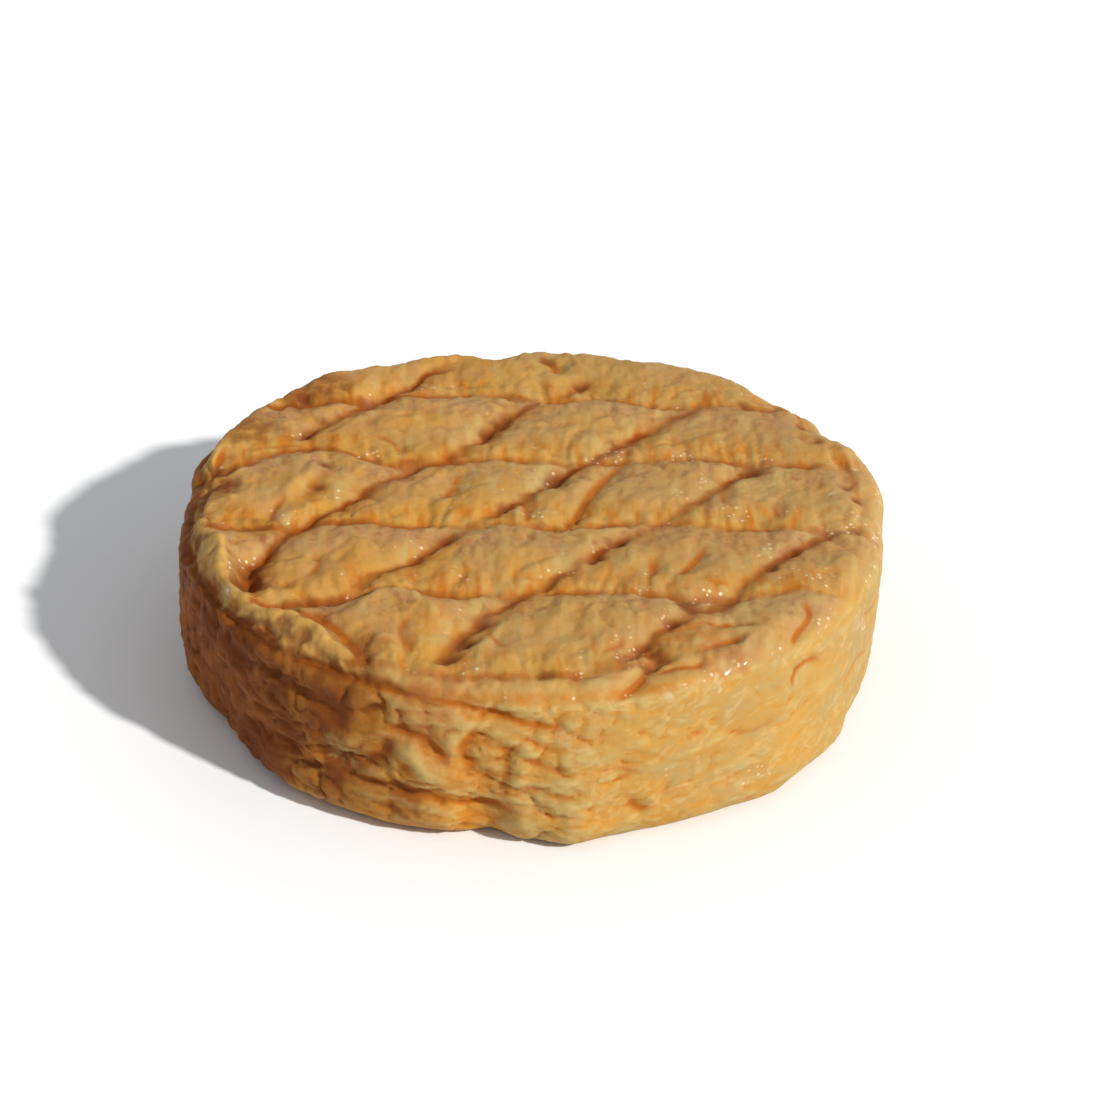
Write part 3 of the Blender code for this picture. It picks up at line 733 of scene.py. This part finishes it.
patterns = {  # noise that breaks the finish up: scale, detail and stretch along x, y and z
    "patch": (110.0, 3.0, (1.0, 1.0, 1.0)), "mottle": (420.0, 3.0, (1.0, 1.0, 1.0)),
    "fleck": (1100.0, 3.0, (1.0, 1.0, 1.0)), "speck": (700.0, 3.0, (1.0, 0.7, 1.0)),
    "streak": (600.0, 2.0, (1.0, 0.22, 0.5)), "gap": (450.0, 2.0, (1.0, 0.3, 0.6)),
    "layer": (260.0, 2.0, (0.6, 0.6, 1.5)), "stretch": (160.0, 1.0, (1.0, 1.0, 1.0)),
    "damp": (170.0, 1.0, (1.0, 1.0, 1.0)), "drip": (150.0, 1.0, (1.0, 1.0, 1.0)),
    "wrinkle": (560.0, 3.0, (1.1, 0.7, 1.2)), "pore": (1000.0, 1.0, (1.0, 1.0, 1.0)),
}

skinLook = {
    "Coat Roughness": 0.2, "Specular IOR Level": 0.05, "Subsurface Weight": 0.3,
    "Subsurface Radius": (1.0, 0.45, 0.18), "Subsurface Scale": 0.002,
}

beadLook = {"scale": 1000.0, "edge": 0.36, "middle": 0.18}  # how fine, and where each ends and is full

bumpDepth = 0.2  # of the finest relief, in millimetres


def newMaterial(name):
    material = bpy.data.materials.new(name)
    material.use_nodes = True
    return material, material.node_tree.nodes["Principled BSDF"]


def rindMaterial():
    material, skin = newMaterial("rind")
    tree = material.node_tree
    here = add(tree, "ShaderNodeTexCoord", out="Object")
    bent = vector(tree, "ADD", here, wander(tree, here, 350.0, 2.0, 6.0 * mm))
    x, y, z = (part / mm for part in split(tree, here))  # in millimetres

    def readings(*names):
        return [add(tree, "ShaderNodeAttribute", {"attribute_name": name}, out="Fac") for name in names]

    def pattern(name):
        scale, detail, stretch = patterns[name]
        return noise(tree, vector(tree, "MULTIPLY", here, stretch), scale, detail)

    def mix(share, low, high):
        return add(tree, "ShaderNodeMix", {"data_type": "RGBA"}, {0: share, 6: low, 7: high}, out=2)

    def stained(kind):
        # soft-edged blots at the places listed for one kind, ragged by the noise that bends them
        total = None
        for at, radius in blots[kind]:
            offset = vector(tree, "SUBTRACT", bent, tuple(part * mm for part in at))
            offset = vector(tree, "MULTIPLY", offset, (1.0, 1.0, 0.7))
            square = (radius * mm)**2
            blot = vector(tree, "DOT_PRODUCT", offset, offset).between(square, square * 0.35**2)
            total = blot if total is None else total.most(blot)
        return total

    crest, mark, ridge, valley, shelf = readings("crest", "mark", "ridge", "valley", "shelf")
    furrow, crack, pit, parapet, onFace = readings("furrow", "crack", "pit", "parapet", "onFace")
    behind, fromCross = readings("behind", "fromCross")
    beside, fromSlant, slant = readings("beside", "fromSlant", "slant")
    patch, mottle, layer, stretch = (pattern(name) for name in ("patch", "mottle", "layer", "stretch"))

    # where on the cheese a point lies
    onWall = 1.0 - onFace
    onEdge = onFace * onWall * 4.0
    leftSide = (-x).between(8.0, 34.0)
    rightSide = x.between(-14.0, 6.0)
    # the left of the wall, which lies in shade: painted shade below, partly also a browner rind
    shadowed = z.between(1.0, 5.0) * 0.6 + (-x).between(34.0, 44.0) * 0.6
    shadowed = (shadowed * leftSide * (onWall + onEdge * (-y).between(10.0, 28.0))).clipped()
    # where in a cell of the lattice: just behind a cross mark or in front of it, and on which side of a
    # slanted mark, by how strong that mark is
    fronts = fromCross.between(9.0, 3.0) * behind.between(-1.0, 0.5) * onFace
    backs = fromCross.between(9.5, 5.0) * behind.between(0.5, -1.5) * onFace * y.between(-49.0, -43.0)
    slantHere = (slant * 0.5).clipped() * onFace
    shadeSide = fromSlant.between(5.0, 1.2) * beside.between(-0.6, 0.6) * slantHere
    lightSide = fromSlant.between(5.0, 2.0) * beside.between(0.2, -1.4) * slantHere

    # a pale film in slanting drifts over the right of the wall
    leaning = add(tree, "ShaderNodeCombineXYZ", {}, {0: x * 0.8, 1: y * 0.8, 2: z * 1.3 - x * 0.4})
    film = noise(tree, leaning, 0.34, 3.0, Distortion=1.2).between(0.5, 0.68) * rightSide * onWall * 0.4
    # what stands proud (partly a painted highlight), what lies low (painted shade in its hollows), the
    # painted shade of the left wall, and the dark floors of the marks
    proud = crest.between(0.05, 0.28) * (0.7 - leftSide * 0.5) * (1.0 - onFace * 0.4) * (1.0 - onEdge * 0.7)
    proud = proud + ridge.clipped() * (onWall * 0.5 + 0.35 - leftSide * 0.2) + shelf.between(0.2, 0.9) * 0.25
    low = crest.between(-0.02, -0.35) * (0.8 - onFace * 0.4)
    low = low + (valley * 0.6).clipped() * (0.3 - onFace * 0.15)
    # painted shade over the left of the wall, darker in its hollows and mottled
    leftShade = leftSide * onWall * (crest.between(0.05, -0.25) * 0.75 + mottle.between(0.5, 0.3) * 0.6).clipped()
    groove = fromSlant.between(2.2, 0.8) * beside.between(-1.0, 0.2) * (slant - 0.5).clipped() * onFace
    groove = groove * (stretch.between(0.35, 0.6) * 0.6 + 0.4 - x * 0.003).clipped()
    seam = stretch.between(0.4, 0.6) * 0.4 + 0.15 + leftSide * 0.3
    seam = seam * fromCross.between(1.4, 0.4) * onFace

    layers = [  # how much of which colour goes over what is there already
        (onFace * 0.3, "tan"),
        (rightSide * (1.0 - onFace * 0.6) * 0.85, "pale"),
        # bloom, partly a painted sky sheen, paler and greyer over the right of the top
        (x.between(8.0, 36.0) * onFace * 0.2, "bloom"),
        # painted shade over the shaded left of the wall
        (shadowed, "umber"),
        # bloom and a painted sky sheen on the backs of the cells, which face away
        (backs * mottle.between(0.36, 0.6) * (0.55 - x * 0.005), "bloom"),
        ((backs * 0.5 + onFace * 0.1) * pattern("speck").between(0.5, 0.68), "dusk"),
        (fronts * 0.4 + onWall * patch.between(0.5, 0.7) * 0.4, "gold"),
        ((fronts * 0.65 + onFace * 0.2) * pattern("streak").between(0.42, 0.7), "amber"),
        ((lightSide * 0.5 + onFace * 0.3 + 0.1) * pattern("gap").between(0.5, 0.68), "lip"),
        (shadeSide * (mottle * 0.8 + 0.1), "rust"),
        (layer.between(0.5, 0.72) * (0.4 - x * 0.007).clipped() * onWall, "amber"),
        (layer.between(0.52, 0.32) * (0.4 - leftSide * 0.3 - rightSide * 0.2) * onWall, "lip"),
        ((furrow * 0.7).clipped() * (0.5 - leftSide * 0.2 - x * 0.009).clipped(), "amber"),
        ((furrow * 0.8).clipped() * rightSide * 0.6, "gold"),
        (film, "cream"),
        # partly painted highlight: what stands proud is painted paler
        (proud, "lip"),
        # painted shade: what lies low is painted darker
        (low, "rust"),
        ((mark * (0.9 - onFace * 0.5)).clipped() * (0.9 - onFace * 0.4), "rust"),
        ((crack * 1.2 - 0.2).clipped() * 0.9, "rust"),
        (mark.between(1.3, 2.3) * 0.6, "brown"),
        (onEdge * (-y).between(40.0, 50.0) * mottle.between(0.3, 0.6) * 0.6, "amber"),
        (stained("rosy") * mottle.between(0.3, 0.6) * 0.6, "rosy"),
        # painted shade in dark blots on the shaded left
        (stained("umber") * mottle.between(0.2, 0.6) * 0.7, "umber"),
        (stained("glowing") * mottle.between(0.35, 0.6) * 0.5, "amber"),
        # more painted shade over the shaded left, broken up by noise
        (shadowed * (patch.between(0.6, 0.35) * 0.4 + 0.4), "umber"),
        (shadowed * mottle.between(0.5, 0.75) * 0.3, "amber"),
        # painted shade on the left wall
        (leftShade, "soot"),
        # painted shade in dark blots on the left wall
        (stained("soot") * mottle.between(0.25, 0.55) * 0.75, "soot"),
        (parapet * crest.between(0.0, 0.3) * onFace * mottle.between(0.35, 0.55) * 0.7, "straw"),
        (parapet * crest.between(-0.05, -0.3) * 0.5, "rust"),
        # paler spots, partly painted highlight and sheen
        (stained("pale") * mottle.between(0.62, 0.42) * 0.6, "lip"),
        (groove, "brown"),
        (seam, "brown"),
        (stained("brown") * 0.8, "umber"),
        (pit * mottle.between(0.2, 0.5) * 0.9, "umber"),
        # painted sheen in small pale spots
        (stained("paintedSheenSpots") * mottle.between(0.35, 0.6) * 0.6, "milk"),
    ]

    # beads of moisture in clusters: on the fronts of the cells, along the lit side of the slanted marks,
    # and here and there on the wall; each is a small glossy bump, painted near-white as a painted glint
    wet = fronts * 0.5 + lightSide * 0.7 + onEdge * rightSide * 0.5
    wet = wet * (pattern("damp") - y * 0.0008 + x * 0.0006).between(0.55, 0.65)
    wet = wet.most(onWall * rightSide * pattern("drip").between(0.66, 0.74) * 0.5)
    away = add(tree, "ShaderNodeTexVoronoi", {}, {"Vector": here, "Scale": beadLook["scale"]}, out="Distance")
    chance = split(tree, Wire(away.socket.node.outputs["Color"]))[0] + x * 0.003  # not every cell has one
    beadAndGlint = away.between(beadLook["edge"], beadLook["middle"]) * wet * chance.between(0.38, 0.46)
    # painted glint: each bead's colour is mixed towards near-white
    layers.append((beadAndGlint * 0.8, "shine"))

    colour = mix(patch.between(0.38, 0.62), rindFinish["ochre"], rindFinish["gold"])
    for share, name in layers:
        colour = mix(share, colour, rindFinish[name])
    height = pattern("wrinkle") * (0.9 - onWall * leftSide * 0.3) + beadAndGlint * 0.2 + pattern("pore") * 0.3
    bump = add(tree, "ShaderNodeBump", {}, {"Strength": 1.0, "Distance": bumpDepth * mm, "Height": height})
    look = {"Base Color": colour, "Roughness": pattern("fleck") * 0.3 + 0.4 - beadAndGlint * 0.3, "Normal": bump,
            "Coat Weight": wet, **skinLook}
    for name, value in look.items():
        plug(tree, value, skin.inputs[name])
    return material


def makeCheese():
    piece = wheelBlank()
    guides = {
        "Slant Marks": lineObject("slantMarks", [(onTop, slantMarks["lines"], slantMarks["share"])]),
        "Cross Marks": lineObject("crossMarks", [(onTop, crossMarks["lines"], crossMarks["share"])]),
        "Creases": lineObject("creases", [(onTop, creases["top"], creases["topShare"]),
                                          (onWall, creases["wall"], creases["wallShare"])]),
        "Ridges": lineObject("ridges", [(onTop, ridges["top"], ridges["topShare"]),
                                        (onWall, ridges["wall"], ridges["wallShare"])]),
        "Pits": spotObject("pits", pits["spots"]),
    }
    tree = reliefTree()
    modifier = piece.modifiers.new("relief", "NODES")
    modifier.node_group = tree
    values = {**guides, **relief, "Rind": rindMaterial()}
    for item in tree.interface.items_tree:
        if item.in_out == "INPUT" and item.name in values:
            modifier[item.identifier] = values[item.name]
    return plain(piece, guides.values())


def plain(piece, guides):
    # the evaluated relief as a plain mesh, in metres and centred as the solid is
    ready = piece.evaluated_get(bpy.context.evaluated_depsgraph_get())
    mesh = bpy.data.meshes.new_from_object(ready)
    piece.modifiers.clear()
    piece.data = mesh
    for guide in guides:
        bpy.data.objects.remove(guide)
    places = np.empty(len(mesh.vertices) * 3, dtype=np.float32)
    mesh.vertices.foreach_get("co", places)
    places = places.reshape(-1, 3)
    places[:, :2] -= wheel["middle"]
    places[:, 2] = np.maximum(places[:, 2], 0.0)
    mesh.vertices.foreach_set("co", (places * mm).ravel())
    mesh.update()
    mesh.shade_smooth()
    return piece


studio = {  # the floor reaches that many metres each way; the sun's size and height are in degrees
    "floor": (0.87, 0.885, 0.895, 1), "floorReach": 2.0, "floorRoughness": 0.9, "floorShine": 0.1,
    "sky": (0.97, 0.98, 1.0, 1), "skyStrength": 0.48,
    "sun": 4.1, "sunColour": (1.0, 0.98, 0.95), "sunSize": 3.0, "sunFrom": (0.756, -0.654), "sunHeight": 34.0,
}

view = {  # in millimetres, and the elevation in degrees
    "aim": (3.09, -0.13, 20.33), "elevation": 30.0, "distance": 560.0, "nearest": 10.0, "lens": 116.9,
    "sensor": 36.0,
}


def makeFloor():
    reach = studio["floorReach"]
    corners = [(-reach, -reach, 0), (reach, -reach, 0), (reach, reach, 0), (-reach, reach, 0)]
    mesh = bpy.data.meshes.new("floor")
    mesh.from_pydata(corners, [], [(0, 1, 2, 3)])
    floor = placed("floor", mesh)
    material, skin = newMaterial("floor")
    skin.inputs["Base Color"].default_value = studio["floor"]
    skin.inputs["Roughness"].default_value = studio["floorRoughness"]
    skin.inputs["Specular IOR Level"].default_value = studio["floorShine"]
    mesh.materials.append(material)


def makeLight():
    world = bpy.data.worlds.new("studio")
    world.use_nodes = True
    sky = world.node_tree.nodes["Background"]
    sky.inputs["Color"].default_value = studio["sky"]
    sky.inputs["Strength"].default_value = studio["skyStrength"]
    bpy.context.scene.world = world
    light = bpy.data.lights.new("sun", "SUN")
    light.energy = studio["sun"]
    light.angle = math.radians(studio["sunSize"])
    light.color = studio["sunColour"]
    raised = math.radians(studio["sunHeight"])
    east, north = studio["sunFrom"]
    came = Vector((east * math.cos(raised), north * math.cos(raised), math.sin(raised)))
    placed("sun", light).rotation_euler = came.to_track_quat("Z", "Y").to_euler()


def makeCamera():
    lens = bpy.data.cameras.new("camera")
    lens.sensor_width = view["sensor"]
    lens.lens = view["lens"]
    lens.clip_start = view["nearest"] * mm
    camera = placed("camera", lens)
    raised = math.radians(view["elevation"])
    aim = Vector(view["aim"]) * mm
    camera.location = aim + Vector((0.0, -math.cos(raised), math.sin(raised))) * view["distance"] * mm
    camera.rotation_euler = (aim - camera.location).to_track_quat("-Z", "Y").to_euler()
    bpy.context.scene.camera = camera


bpy.context.scene.view_settings.view_transform = "Standard"
makeCamera()
makeFloor()
makeLight()
print("floor, light and camera are in place")

cheese = makeCheese()
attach(cheese, "root")
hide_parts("cheese")
print("cheese:", len(cheese.data.polygons), "faces")
